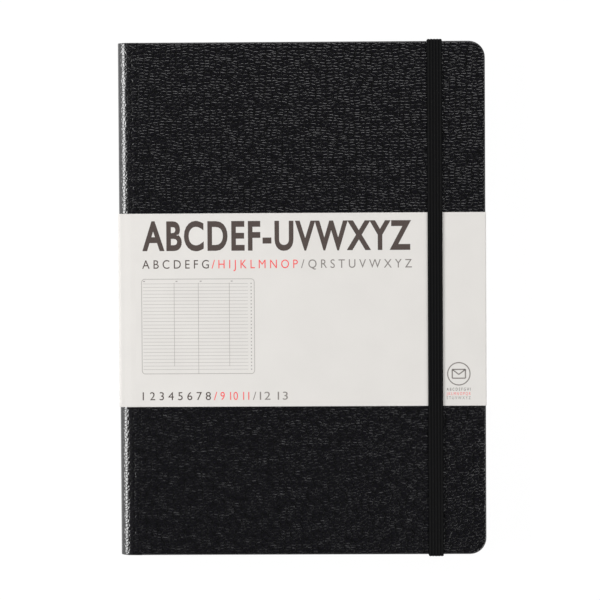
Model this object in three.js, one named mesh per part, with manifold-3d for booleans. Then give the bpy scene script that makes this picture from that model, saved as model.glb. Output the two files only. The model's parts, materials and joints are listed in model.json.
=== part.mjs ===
// A hardback address book with a stepped A to Z register, an elastic closure and a paper band.
// It lies on its back cover: the head is at +Y, the spine at -X, and the front cover faces +Z.
import * as THREE from "three";
import { mergeVertices } from "three/addons/utils/BufferGeometryUtils.js";
import Module from "manifold-3d";

const wasm = await Module();
wasm.setup();

// Driving dimensions, in millimetres.
const COVER_WIDTH = 150;
const COVER_LENGTH = 210;
const COVER_CORNER = 6.7;
const HINGE_CORNER = 0.8;
const SKIN = 0.45;
const SKIN_EDGE = 0.7; // the round that the skin takes over the edge of a board
const BOARD = 1.8;
const TURN_IN = 14;

const HINGE_FROM_SPINE = 5;
const BOARD_FROM_SPINE = 7.6;
const GROOVE_DEPTH = 0.9;
const SHOULDER_DROP = 0.25;
const SHOULDER_ROUND = 2;
const SPINE_BULGE = 0.5;
const SPINE_INLAY = 0.8;
const SLIT = 0.15; // half of the cut between what turns on the hinge line and what stays

const COVER_SQUARE = 2.6; // how far the covers stand past the leaves
const PAGE_CORNER = 5.5;
const LETTERS = "abcdefghijklmnopqrstuvwxyz";
const TURNING_LETTERS = "abcdefghi"; // these fan out when the cover is opened
const SECTION = 0.31; // four leaves, pressed together
const TAB_DEPTH = 8;
const TAB_ROUND = 1.6;
const GUTTER_WIDTH = 2.1;
const MULL = 0.2;
const FLYLEAF = 0.12;
const PASTEDOWN = 0.15;
const PASTEDOWN_MARGIN = 3.2;

const HEADBAND_RADIUS = 0.65;
const HEADBAND_TONGUE = 12;

const POCKET_HEIGHT = 0.9;
const POCKET_CARD = 0.3;
const POCKET_CLOTH = 0.2;
const POCKET_WIDTH = 130;
const POCKET_LENGTH = 196;
const POCKET_FOOT = 6;
const GUSSET_DEPTH = 8;
const GUSSET_FROM_MOUTH = 2;

const ELASTIC_WIDTH = 6.1;
const ELASTIC_THICKNESS = 0.8;
const ELASTIC_FROM_FORE_EDGE = 20.6;
const ELASTIC_BEND = 0.9;
const ELASTIC_SLOT_FROM_END = 10.4;
const ELASTIC_END = 12;
const ELASTIC_ROOM = 0.04;

const BAND_PAPER = 0.2;
const BAND_LENGTH = 79.2;
const BAND_FROM_HEAD = 69.8;
const BAND_FOLD = 0.5;
const BAND_FLAP = 52;
const BAND_BREAK = 1; // the soft bend between the band's lean and the shoulder

const GAP = 0.05;
const HAIR = 0.001; // keeps two rounded corners from meeting in one point

// Straight steps in each curve of a line.
const SPINE_STEPS = 6;
const GROOVE_STEPS = 8;
const FOLD_STEPS = 3;
const GUSSET_STEPS = 4;
const HEADBAND_SIDES = 14;

// Levels of the stack from the table up, each layer with its low and high face.
const SECTION_PITCH = SECTION + GAP;
const level = stackLayers([
  ["bandBack", BAND_PAPER],
  ["backSkin", SKIN],
  ["backBoard", BOARD],
  ["backTurnIn", SKIN],
  ["backPastedown", PASTEDOWN],
  ["pocket", POCKET_HEIGHT],
  ["backFlap", BAND_PAPER],
  ["backFlyleaf", FLYLEAF],
  ["sections", LETTERS.length * SECTION_PITCH - GAP],
  ["frontFlyleaf", FLYLEAF],
  ["frontFlap", BAND_PAPER],
  ["frontPastedown", PASTEDOWN],
  ["frontTurnIn", SKIN],
  ["frontBoard", BOARD],
  ["frontSkin", SKIN],
  ["bandFront", BAND_PAPER],
  ["elastic", ELASTIC_THICKNESS],
]);

// Places across the book.
const SPINE_X = -COVER_WIDTH / 2;
const FORE_EDGE_X = COVER_WIDTH / 2;
const HINGE_X = SPINE_X + HINGE_FROM_SPINE;
const BOARD_X = SPINE_X + BOARD_FROM_SPINE;
const HEAD_Y = COVER_LENGTH / 2;
const PAGE_X = FORE_EDGE_X - COVER_SQUARE;
const PAGE_Y = HEAD_Y - COVER_SQUARE;
const TAB_HEIGHT = (2 * PAGE_Y) / LETTERS.length;
const GUTTER_X = HINGE_X - SLIT;
const ELASTIC_X = FORE_EDGE_X - ELASTIC_FROM_FORE_EDGE;
const BAND_Y = HEAD_Y - BAND_FROM_HEAD - BAND_LENGTH / 2;
const SKIN_INSET = SKIN + GAP;

const leatherette = { color: 0x17181b, roughness: 0.62, metalness: 0 };
const greyBoard = { color: 0x8f8b83, roughness: 0.95, metalness: 0 };
const creamPaper = { color: 0xf3eedd, roughness: 0.9, metalness: 0 };
const endpaper = { color: 0xefe9d8, roughness: 0.9, metalness: 0 };
const bandPaper = { color: 0xe3e1dc, roughness: 0.85, metalness: 0 };
const blackCloth = { color: 0x1b1b1d, roughness: 0.95, metalness: 0 };
const gauze = { color: 0xe8e4da, roughness: 1, metalness: 0 };
const glue = { color: 0xe9e2cc, roughness: 0.7, metalness: 0 };

// Each layer's low and high face, with the gap between it and the next.
function stackLayers(layers) {
  const levels = {};
  let low = 0;
  for (const [name, thickness] of layers) {
    levels[name] = { low, high: low + thickness };
    low += thickness + GAP;
  }
  return levels;
}

// Solids are joined and cut as manifolds, which share their vertices.
function toSolid(geometry) {
  const bare = geometry.clone();
  bare.deleteAttribute("normal");
  bare.deleteAttribute("uv");
  const merged = mergeVertices(bare, 1e-4);
  return new wasm.Manifold(
    new wasm.Mesh({
      numProp: 3,
      vertProperties: Float32Array.from(merged.attributes.position.array),
      triVerts: Uint32Array.from(merged.index.array),
    }),
  );
}

function toGeometry(solid) {
  const mesh = solid.getMesh();
  const geometry = new THREE.BufferGeometry();
  geometry.setAttribute("position", new THREE.BufferAttribute(mesh.vertProperties, 3));
  geometry.setIndex(new THREE.BufferAttribute(mesh.triVerts, 1));
  geometry.computeVertexNormals();
  return geometry;
}

// A block between two corners.
function block(low, high) {
  const size = high.map((value, axis) => value - low[axis]);
  const geometry = new THREE.BoxGeometry(...size);
  geometry.translate(...low.map((value, axis) => value + size[axis] / 2));
  return toSolid(geometry);
}

// Draws straight runs between corners given as [x, y, radius], rounding each inner corner to its radius.
function drawRounded(path, corners) {
  const points = corners.map(([x, y]) => new THREE.Vector2(x, y));
  path.moveTo(points[0].x, points[0].y);
  for (let i = 1; i < points.length - 1; i++) {
    const radius = corners[i][2] ?? 0;
    const into = points[i].clone().sub(points[i - 1]).normalize();
    const out = points[i + 1].clone().sub(points[i]).normalize();
    const turn = Math.atan2(into.cross(out), into.dot(out));
    if (radius === 0 || turn === 0) {
      path.lineTo(points[i].x, points[i].y);
      continue;
    }
    const cutBack = radius * Math.tan(Math.abs(turn) / 2);
    const start = points[i].clone().addScaledVector(into, -cutBack);
    const side = new THREE.Vector2(-into.y, into.x).multiplyScalar(Math.sign(turn));
    const centre = start.clone().addScaledVector(side, radius);
    const from = Math.atan2(start.y - centre.y, start.x - centre.x);
    path.lineTo(start.x, start.y);
    path.absarc(centre.x, centre.y, radius, from, from + turn, turn < 0);
  }
  path.lineTo(points.at(-1).x, points.at(-1).y);
  return path;
}

// A closed outline with rounded corners. It starts and ends in the middle of its last side.
function roundedShape(corners) {
  const [first, last] = [corners[0], corners.at(-1)];
  const middle = [(first[0] + last[0]) / 2, (first[1] + last[1]) / 2];
  return drawRounded(new THREE.Shape(), [middle, ...corners, middle]);
}

// A rectangle whose corners at the fore-edge and at the hinge have their own radii.
function leafShape(hingeX, foreEdgeX, halfLength, foreRadius, hingeRadius) {
  return roundedShape([
    [hingeX, -halfLength, hingeRadius],
    [foreEdgeX, -halfLength, foreRadius],
    [foreEdgeX, halfLength, foreRadius],
    [hingeX, halfLength, hingeRadius],
  ]);
}

// An outline raised from one level to another.
function slab(shape, low, high) {
  const depth = high - low;
  const geometry = new THREE.ExtrudeGeometry(shape, { depth, bevelEnabled: false, curveSegments: 4 });
  geometry.translate(0, 0, low);
  return toSolid(geometry);
}

// The same, with every edge rounded.
function softSlab(shape, low, high, round) {
  const geometry = new THREE.ExtrudeGeometry(shape, {
    depth: high - low - 2 * round,
    bevelThickness: round,
    bevelSize: round,
    bevelOffset: -round,
    bevelSegments: 3,
    curveSegments: 5,
  });
  geometry.translate(0, 0, low + round);
  return toSolid(geometry);
}

// The strip between two offsets from a line of points, measured to the left of its direction. It may
// keep only a stretch of the line.
function ribbonShape(points, near, far, isKept = () => true) {
  const offset = (distance) =>
    points
      .map((point, i) => {
        const before = points[Math.max(i - 1, 0)];
        const after = points[Math.min(i + 1, points.length - 1)];
        const along = after.clone().sub(before).normalize();
        return new THREE.Vector2(point.x - along.y * distance, point.y + along.x * distance);
      })
      .filter((_, i) => isKept(points[i]));
  return new THREE.Shape([...offset(near), ...offset(far).reverse()]);
}

// An outline in X and Z, carried along Y.
function carriedAlongY(shape, low, high) {
  const geometry = new THREE.ExtrudeGeometry(shape, {
    depth: high - low,
    bevelEnabled: false,
    curveSegments: 4,
  });
  geometry.rotateX(Math.PI / 2);
  geometry.translate(0, high, 0);
  return toSolid(geometry);
}

// An outline in Y and Z, carried along X.
function carriedAlongX(shape, low, high) {
  const geometry = new THREE.ExtrudeGeometry(shape, {
    depth: high - low,
    bevelEnabled: false,
    curveSegments: 4,
  });
  geometry.rotateX(Math.PI / 2);
  geometry.rotateZ(Math.PI / 2);
  geometry.translate(low, 0, 0);
  return toSolid(geometry);
}

// The outer face of the skin round the spine, from the front hinge line to the back one: out of the
// front groove, over the shoulder, down the slightly bulged spine, and the same again at the back.
function spineLine() {
  const groove = [level.backSkin.low + GROOVE_DEPTH, level.frontSkin.high - GROOVE_DEPTH];
  const shoulder = [level.backSkin.low + SHOULDER_DROP, level.frontSkin.high - SHOULDER_DROP];
  const edge = SPINE_X + SPINE_BULGE / 2;
  const bulge = SPINE_X - SPINE_BULGE / 2;
  const top = edge + SHOULDER_ROUND;
  const start = HINGE_X - SLIT;
  const rise = (start + top) / 2;
  const path = new THREE.Path();
  path.moveTo(start, groove[1]);
  path.bezierCurveTo(rise, groove[1], rise, shoulder[1], top, shoulder[1]);
  path.quadraticCurveTo(edge, shoulder[1], edge, shoulder[1] - SHOULDER_ROUND);
  path.quadraticCurveTo(bulge, (shoulder[0] + shoulder[1]) / 2, edge, shoulder[0] + SHOULDER_ROUND);
  path.quadraticCurveTo(edge, shoulder[0], top, shoulder[0]);
  path.bezierCurveTo(rise, shoulder[0], rise, groove[0], HINGE_X, groove[0]);
  return path.getPoints(SPINE_STEPS);
}

// The spine is stiff between its two shoulders.
function isStiff(point) {
  return point.x < SPINE_X + SPINE_BULGE / 2 + GAP;
}

// The hinge side of a cover's skin, from the groove up over the edge of its board.
function grooveLine(fromX, grooveZ, faceZ) {
  const atBoard = BOARD_X - 4 * GAP;
  const middle = (fromX + atBoard) / 2;
  const path = new THREE.Path();
  path.moveTo(fromX, grooveZ);
  path.bezierCurveTo(middle, grooveZ, middle, faceZ, atBoard, faceZ);
  path.lineTo(BOARD_X - GAP, faceZ);
  return path.getPoints(GROOVE_STEPS);
}

function boardShape(inset) {
  return leafShape(
    BOARD_X - inset,
    FORE_EDGE_X - SKIN_INSET + inset,
    HEAD_Y - SKIN_INSET + inset,
    COVER_CORNER - SKIN_INSET,
    HINGE_CORNER,
  );
}

// The space that a board and its turned-in skin leave open on the inner side of a cover.
function turnInWindow(low, high) {
  const shape = leafShape(HINGE_X - GAP, FORE_EDGE_X - TURN_IN, HEAD_Y - TURN_IN, 0, 0);
  return slab(shape, low, high);
}

// One cover's skin: a soft slab with room for the board, open inside the turned-in borders.
function coverSkin(outer, board, turnIn) {
  const low = Math.min(outer.low, turnIn.low);
  const high = Math.max(outer.high, turnIn.high);
  const outline = leafShape(BOARD_X - SKIN_EDGE, FORE_EDGE_X, HEAD_Y, COVER_CORNER, HINGE_CORNER);
  const open = [turnIn.low - GAP, turnIn.high + GAP];
  const hingeSide = [Math.min(board.low, open[0]), Math.max(board.high, open[1])];
  return softSlab(outline, low, high, SKIN_EDGE)
    .subtract(slab(boardShape(GAP), board.low - GAP, board.high + GAP))
    .subtract(turnInWindow(...open))
    .subtract(block([HINGE_X, -HEAD_Y - GAP, hingeSide[0]], [BOARD_X, HEAD_Y + GAP, hingeSide[1]]));
}

function frontCoverSkin() {
  const face = level.frontSkin.high;
  const line = grooveLine(HINGE_X + SLIT, face - GROOVE_DEPTH, face);
  const groove = carriedAlongY(ribbonShape(line, -SKIN, 0), -HEAD_Y, HEAD_Y);
  return coverSkin(level.frontSkin, level.frontBoard, level.frontTurnIn).add(groove);
}

// The back cover's skin runs on round the spine as one sheet. At the head and the tail it is turned
// in over the ends of the spine inlay.
function spineAndBackSkin() {
  const face = level.backSkin.low;
  const line = [...spineLine(), ...grooveLine(HINGE_X, face + GROOVE_DEPTH, face).slice(1)];
  const inlayFar = SKIN + SPINE_INLAY + 2 * GAP;
  const turnIn = ribbonShape(line, inlayFar, inlayFar + SKIN, isStiff);
  const end = ribbonShape(line, SKIN / 2, inlayFar + SKIN, isStiff);
  const foldY = HEAD_Y - GAP;
  const skin = coverSkin(level.backSkin, level.backBoard, level.backTurnIn)
    .add(carriedAlongY(ribbonShape(line, 0, SKIN), -HEAD_Y, HEAD_Y))
    .add(carriedAlongY(end, -foldY, SKIN - foldY))
    .add(carriedAlongY(end, foldY - SKIN, foldY))
    .add(carriedAlongY(turnIn, GAP - foldY, TURN_IN - HEAD_Y))
    .add(carriedAlongY(turnIn, HEAD_Y - TURN_IN, foldY - GAP));
  return skin.subtract(elasticStrap(ELASTIC_ROOM));
}

// The strap's ends lie in shallow channels, outside and inside the board, with a slot between.
function backBoard() {
  const board = slab(boardShape(0), level.backBoard.low, level.backBoard.high);
  return board.subtract(elasticStrap(ELASTIC_ROOM));
}

// A pastedown covers the bare board and the inner edges of the turned-in skin.
function pastedown(turnIn, sheet) {
  const window = leafShape(BOARD_X, FORE_EDGE_X - TURN_IN - GAP, HEAD_Y - TURN_IN - GAP, 0, 0);
  const outline = leafShape(
    BOARD_X,
    FORE_EDGE_X - PASTEDOWN_MARGIN,
    HEAD_Y - PASTEDOWN_MARGIN,
    COVER_CORNER - PASTEDOWN_MARGIN,
    0,
  );
  const facesUp = sheet.low > turnIn.low;
  const pad = facesUp ? [turnIn.low, sheet.low + GAP] : [sheet.high - GAP, turnIn.high];
  return slab(outline, sheet.low, sheet.high).add(slab(window, ...pad));
}

function spineInlay() {
  const shape = ribbonShape(spineLine(), SKIN + GAP, SKIN + GAP + SPINE_INLAY, isStiff);
  const half = HEAD_Y - SKIN - 2 * GAP;
  return carriedAlongY(shape, -half, half);
}

// The glued back edge of the block, which all the sections grow out of.
function gluedGutter() {
  const west = GUTTER_X - GUTTER_WIDTH;
  return block([west, -PAGE_Y, level.sections.low], [GUTTER_X, PAGE_Y, level.sections.high]);
}

function spineMull() {
  const east = GUTTER_X - GUTTER_WIDTH - GAP;
  const half = PAGE_Y - COVER_SQUARE;
  return block([east - MULL, -half, level.sections.low], [east, half, level.sections.high]);
}

// A headband is a corded bead at the end of the gutter, with a cloth tongue glued down the mull.
function headband(side) {
  const tongueEast = GUTTER_X - GUTTER_WIDTH - MULL - 2 * GAP;
  const tongueWest = tongueEast - MULL;
  const beadY = PAGE_Y + GAP + HEADBAND_RADIUS;
  const height = level.sections.high - level.sections.low;
  const bead = new THREE.CylinderGeometry(HEADBAND_RADIUS, HEADBAND_RADIUS, height, HEADBAND_SIDES);
  bead.rotateX(Math.PI / 2);
  bead.translate(tongueWest + HEADBAND_RADIUS, side * beadY, level.sections.low + height / 2);
  const ends = [side * beadY, side * (beadY - HEADBAND_TONGUE)];
  const tongue = block(
    [tongueWest, Math.min(...ends), level.sections.low],
    [tongueEast, Math.max(...ends), level.sections.high],
  );
  return toSolid(bead).add(tongue);
}

// A section of the register keeps its full width from the head down to the foot of its own tab.
// Below that it is cut back, so that the tabs of all later letters show.
function registerShape(index, hingeX) {
  const tabFoot = PAGE_Y - (index + 1) * TAB_HEIGHT;
  const cutX = PAGE_X - TAB_DEPTH;
  if (index === LETTERS.length - 1) return leafShape(hingeX, PAGE_X, PAGE_Y, PAGE_CORNER, 0);
  return roundedShape([
    [hingeX, -PAGE_Y],
    [cutX, -PAGE_Y, PAGE_CORNER],
    [cutX, tabFoot, TAB_ROUND],
    [PAGE_X, tabFoot, TAB_ROUND],
    [PAGE_X, PAGE_Y, PAGE_CORNER],
    [hingeX, PAGE_Y],
  ]);
}

function registerSection(index) {
  const turns = TURNING_LETTERS.includes(LETTERS[index]);
  const hingeX = turns ? HINGE_X + SLIT : GUTTER_X + GAP;
  const low = level.sections.low + (LETTERS.length - 1 - index) * SECTION_PITCH;
  return slab(registerShape(index, hingeX), low, low + SECTION);
}

function flyleaf(hingeX, sheet) {
  return slab(leafShape(hingeX, PAGE_X, PAGE_Y, PAGE_CORNER, 0), sheet.low, sheet.high);
}

// The pocket's card face is folded down at the fore-edge and glued to the pastedown by a foot. It is
// open towards the spine.
function pocketPanel() {
  const east = PAGE_X - PASTEDOWN_MARGIN;
  const line = drawRounded(new THREE.Path(), [
    [east - POCKET_WIDTH, level.pocket.high],
    [east, level.pocket.high, POCKET_CARD + GAP],
    [east, level.pocket.low, POCKET_CARD + GAP],
    [east - POCKET_FOOT, level.pocket.low],
  ]);
  const shape = ribbonShape(line.getPoints(FOLD_STEPS), -POCKET_CARD, 0);
  return carriedAlongY(shape, -POCKET_LENGTH / 2, POCKET_LENGTH / 2);
}

// Each gusset is a strip of cloth folded inwards once, between the card and the pastedown.
function pocketGusset(side) {
  const east = PAGE_X - PASTEDOWN_MARGIN - POCKET_FOOT - GAP;
  const west = east - POCKET_WIDTH + POCKET_FOOT + GUSSET_FROM_MOUTH;
  const outer = POCKET_LENGTH / 2;
  const low = level.pocket.low + POCKET_CLOTH / 2;
  const high = level.pocket.high - POCKET_CARD - GAP - POCKET_CLOTH / 2;
  const fold = (high - low) / 2 - HAIR;
  const line = drawRounded(new THREE.Path(), [
    [side * outer, high],
    [side * (outer - GUSSET_DEPTH), high, fold],
    [side * (outer - GUSSET_DEPTH), low, fold],
    [side * outer, low],
  ]);
  const half = (side * POCKET_CLOTH) / 2;
  return carriedAlongX(ribbonShape(line.getPoints(GUSSET_STEPS), half, -half), west, east);
}

// The strap runs from one end under the back pastedown, out through its slot, round the tail, up the
// front cover, round the head and back in again. With some room round it, it cuts its own channels.
function elasticStrap(room) {
  const half = ELASTIC_THICKNESS / 2;
  const slotY = HEAD_Y - ELASTIC_SLOT_FROM_END;
  const legY = HEAD_Y + GAP + half;
  const insideZ = level.backBoard.high - half;
  const strandZ = level.elastic.low + half;
  const headHalf = [
    [slotY - ELASTIC_END, insideZ],
    [slotY, insideZ, ELASTIC_BEND],
    [slotY, half, ELASTIC_BEND],
    [legY, half, ELASTIC_BEND],
    [legY, strandZ, ELASTIC_BEND],
  ];
  const tailHalf = headHalf.map(([y, z, radius]) => [-y, z, radius]).reverse();
  const line = drawRounded(new THREE.Path(), [...headHalf, ...tailHalf]);
  const shape = ribbonShape(line.getPoints(FOLD_STEPS), -half - room, half + room);
  const halfWidth = ELASTIC_WIDTH / 2 + room;
  return carriedAlongX(shape, ELASTIC_X - halfWidth, ELASTIC_X + halfWidth);
}

// The paper band is a jacket: its front panel is folded round the fore-edge and tucked in.
function frontBand() {
  const east = FORE_EDGE_X + GAP + BAND_PAPER;
  const line = drawRounded(new THREE.Path(), [
    [HINGE_X + SLIT, level.bandFront.high],
    [east, level.bandFront.high, BAND_FOLD],
    [east, level.frontFlap.low, BAND_FOLD],
    [east - BAND_FLAP, level.frontFlap.low],
  ]);
  const shape = ribbonShape(line.getPoints(FOLD_STEPS), -BAND_PAPER, 0);
  return carriedAlongY(shape, BAND_Y - BAND_LENGTH / 2, BAND_Y + BAND_LENGTH / 2);
}

// From the hinge line it leans down to the shoulder, goes round the spine and along the back, and is
// tucked in over the pocket.
function spineAndBackBand() {
  const west = SPINE_X - GAP - BAND_PAPER;
  const east = FORE_EDGE_X + GAP + BAND_PAPER;
  const shoulder = level.bandFront.high - SHOULDER_DROP;
  const line = drawRounded(new THREE.Path(), [
    [HINGE_X - SLIT, level.bandFront.high],
    [west + SHOULDER_ROUND + BAND_BREAK, shoulder, BAND_BREAK],
    [west, shoulder, SHOULDER_ROUND],
    [west, level.bandBack.low, SHOULDER_ROUND - SHOULDER_DROP],
    [east, level.bandBack.low, BAND_FOLD],
    [east, level.backFlap.high, BAND_FOLD],
    [east - BAND_FLAP, level.backFlap.high],
  ]);
  const shape = ribbonShape(line.getPoints(FOLD_STEPS), 0, BAND_PAPER);
  return carriedAlongY(shape, BAND_Y - BAND_LENGTH / 2, BAND_Y + BAND_LENGTH / 2);
}

function piece(name, solid, look) {
  const mesh = new THREE.Mesh(toGeometry(solid), new THREE.MeshStandardMaterial(look));
  mesh.name = name;
  return mesh;
}

const frontCover = new THREE.Group();
frontCover.add(
  piece("front_board", slab(boardShape(0), level.frontBoard.low, level.frontBoard.high), greyBoard),
  piece("front_cover_skin", frontCoverSkin(), leatherette),
  piece("front_pastedown", pastedown(level.frontTurnIn, level.frontPastedown), endpaper),
  piece("paper_band_front", frontBand(), bandPaper),
);

const backCover = new THREE.Group();
backCover.add(
  piece("back_board", backBoard(), greyBoard),
  piece("spine_and_back_skin", spineAndBackSkin(), leatherette),
  piece("spine_inlay", spineInlay(), greyBoard),
  piece("back_pastedown", pastedown(level.backTurnIn, level.backPastedown), endpaper),
  piece("pocket_panel", pocketPanel(), endpaper),
  piece("pocket_gusset_head", pocketGusset(1), blackCloth),
  piece("pocket_gusset_tail", pocketGusset(-1), blackCloth),
  piece("paper_band_spine_and_back", spineAndBackBand(), bandPaper),
  piece("elastic_closure", elasticStrap(0), blackCloth),
);

const pageBlock = new THREE.Group();
pageBlock.add(
  piece("glued_gutter", gluedGutter(), glue),
  piece("spine_mull", spineMull(), gauze),
  piece("headband_head", headband(1), blackCloth),
  piece("headband_tail", headband(-1), blackCloth),
  piece("front_flyleaf", flyleaf(HINGE_X + SLIT, level.frontFlyleaf), endpaper),
  piece("back_flyleaf", flyleaf(GUTTER_X + GAP, level.backFlyleaf), endpaper),
);
[...LETTERS].forEach((letter, index) => {
  pageBlock.add(piece(`leaves_${letter}`, registerSection(index), creamPaper));
});

const addressBook = new THREE.Group();
addressBook.add(backCover, pageBlock, frontCover);

export default addressBook;
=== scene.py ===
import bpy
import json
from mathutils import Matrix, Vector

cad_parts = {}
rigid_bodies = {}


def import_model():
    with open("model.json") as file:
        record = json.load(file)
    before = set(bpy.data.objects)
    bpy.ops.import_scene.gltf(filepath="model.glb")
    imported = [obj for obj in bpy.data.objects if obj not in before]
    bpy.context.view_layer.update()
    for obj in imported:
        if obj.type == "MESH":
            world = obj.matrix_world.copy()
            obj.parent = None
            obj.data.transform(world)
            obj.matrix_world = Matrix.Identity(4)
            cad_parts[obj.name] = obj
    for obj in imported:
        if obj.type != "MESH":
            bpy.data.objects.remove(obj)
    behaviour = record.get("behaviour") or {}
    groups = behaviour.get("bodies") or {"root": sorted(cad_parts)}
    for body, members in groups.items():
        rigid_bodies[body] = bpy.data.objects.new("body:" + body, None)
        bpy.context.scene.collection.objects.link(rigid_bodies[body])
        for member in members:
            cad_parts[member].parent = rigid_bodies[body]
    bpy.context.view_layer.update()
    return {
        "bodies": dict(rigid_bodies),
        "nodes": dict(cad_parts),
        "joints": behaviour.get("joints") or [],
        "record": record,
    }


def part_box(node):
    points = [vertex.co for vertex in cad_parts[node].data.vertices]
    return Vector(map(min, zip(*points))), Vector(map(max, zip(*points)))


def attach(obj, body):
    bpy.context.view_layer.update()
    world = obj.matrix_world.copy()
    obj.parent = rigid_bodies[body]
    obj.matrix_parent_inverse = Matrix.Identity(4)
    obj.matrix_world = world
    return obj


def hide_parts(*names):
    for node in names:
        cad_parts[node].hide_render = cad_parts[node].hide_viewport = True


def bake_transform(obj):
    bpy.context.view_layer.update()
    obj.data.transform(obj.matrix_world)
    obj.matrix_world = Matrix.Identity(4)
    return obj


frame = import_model()

import json
import math

import bmesh
import bpy
import numpy as np
from mathutils import Euler, Vector

bl_info = {
    "name": "Address Book",
    "version": (1, 0, 0),
    "blender": (4, 5, 0),
    "location": "View3D > Sidebar > Address Book",
    "description": "Covers, register, paper band and elastic of a hardback address book",
    "category": "Object",
}

MM = 0.001
X, Y, Z = range(3)
LETTERS = "abcdefghijklmnopqrstuvwxyz"


def span(node, axis):
    """The lowest and highest place of a node along one axis."""
    low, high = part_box(node)
    return low[axis], high[axis]


# Places taken from the frame, in metres.
HINGE = next(joint["pos_m"] for joint in frame["joints"] if joint["name"] == "front_cover_hinge")
HINGE_X = HINGE[X]
FORE_EDGE_X = span("front_cover_skin", X)[1]
SPINE_X = -FORE_EDGE_X
HEAD_Y = span("front_cover_skin", Y)[1]
FRONT_TURN_IN, FRONT_FACE = span("front_cover_skin", Z)
BACK_FACE = span("spine_and_back_skin", Z)[0]
BACK_TURN_IN = BACK_FACE + FRONT_FACE - FRONT_TURN_IN
BOARD_X = span("front_board", X)[0]
PAGE_X = span("leaves_z", X)[1]
PAGE_Y = span("leaves_z", Y)[1]
LEAF_X = span("leaves_a", X)[0]
GUTTER_X = span("glued_gutter", X)[1]
BLOCK_LOW, BLOCK_HIGH = span("glued_gutter", Z)
BAND_LOW_Y, BAND_HIGH_Y = span("paper_band_front", Y)
BAND_FRONT_FACE = span("paper_band_front", Z)[1]
BAND_EAST = span("paper_band_front", X)[1]
BAND_WEST = span("paper_band_spine_and_back", X)[0]


def length(name, description, millimetres):
    """A length property whose default is given in millimetres."""
    return bpy.props.FloatProperty(
        name=name, description=description, default=millimetres * MM, unit="LENGTH", precision=6)


class BookSizes(bpy.types.PropertyGroup):
    """Sizes of the pieces that are modelled here."""

    skin: length("Leatherette", "Thickness of the leatherette", 0.45)
    edge_round: length("Edge round", "Round of the leatherette over a board", 0.7)
    cover_corner: length("Cover corner", "Radius of a cover's outer corners", 6.7)
    hinge_corner: length("Hinge corner", "Radius of a board's inner corners", 0.8)
    turn_in: length("Turn-in", "Width of the leatherette folded inside", 14)
    groove: length("Groove", "Depth of the groove along the spine", 0.14)
    shoulder_drop: length("Shoulder drop", "How far the shoulder lies below the cover", 0.1)
    shoulder_width: length("Shoulder width", "How far in the round of a shoulder reaches", 4.5)
    shoulder_height: length("Shoulder height", "How far down the round of a shoulder reaches", 4)
    spine_bulge: length("Spine bulge", "How far the spine's middle swells out", 0.3)
    spine_thickness: length("Spine thickness", "Leatherette, inlay and turned-in leatherette together", 1.8)
    endpaper: length("Endpaper", "Thickness of the folded endpaper", 0.1)
    page_corner: length("Page corner", "Radius of the leaves' outer corners", 5.5)
    tab_depth: length("Tab depth", "How far a section is cut back below its tab", 8)
    tab_round: length("Tab round", "Radius of a tab's corners", 1.6)
    tab_letter: length("Tab letter", "Height of a tab's letter", 3.4)
    leaf_bend: length("Leaf bend", "Width of a leaf that bends beside the gutter", 16)
    bead: length("Headband bead", "Radius of a headband's bead", 0.62)
    tongue: length("Headband tongue", "Length of a headband's cloth tongue", 12)
    gusset: length("Gusset cloth", "Thickness of the gussets' cloth", 0.18)
    paper: length("Band paper", "Thickness of the paper band", 0.2)
    band_flap: length("Band flap", "Width of the band's flap inside a cover", 52)
    band_fold: length("Band fold", "Radius of the band's folds", 0.5)
    band_round: length("Band round", "Radius of the band round the spine", 1.3)
    band_bend: length("Band bend", "Width of the band that bends on each side of the hinge line", 1.8)
    band_lean: length("Band lean", "How far the band dips towards the spine", 0.25)
    ink: length("Ink", "Thickness of the print", 0.012)
    strap: length("Strap", "Thickness of the elastic", 0.8)
    strap_turn: length("Strap turn", "Radius at which the elastic turns", 0.9)
    strap_slot: length("Strap slot", "Distance of the elastic's slots from the head and the tail", 10.4)
    strap_end: length("Strap end", "Length of the elastic glued inside the back cover", 12)
    strap_ribs: bpy.props.IntProperty(
        name="Strap ribs", description="Lengthwise ribs on the elastic", default=5, min=1)
    rib_depth: bpy.props.FloatProperty(
        name="Rib depth", description="Depth between the elastic's ribs, as a share of its thickness",
        default=0.3, subtype="FACTOR")


def screen_colour(name, description, *values):
    """A colour property whose default is given by its screen values from 0 to 255. A linear value is
    ((s + 0.055) / 1.055) to the power 2.4, where s is the screen value over 255."""
    scaled = np.array(values) / 255
    linear = np.where(scaled > 0.04045, ((scaled + 0.055) / 1.055) ** 2.4, scaled / 12.92)
    return bpy.props.FloatVectorProperty(
        name=name, description=description, default=tuple(linear), subtype="COLOR", min=0, max=1)


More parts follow.
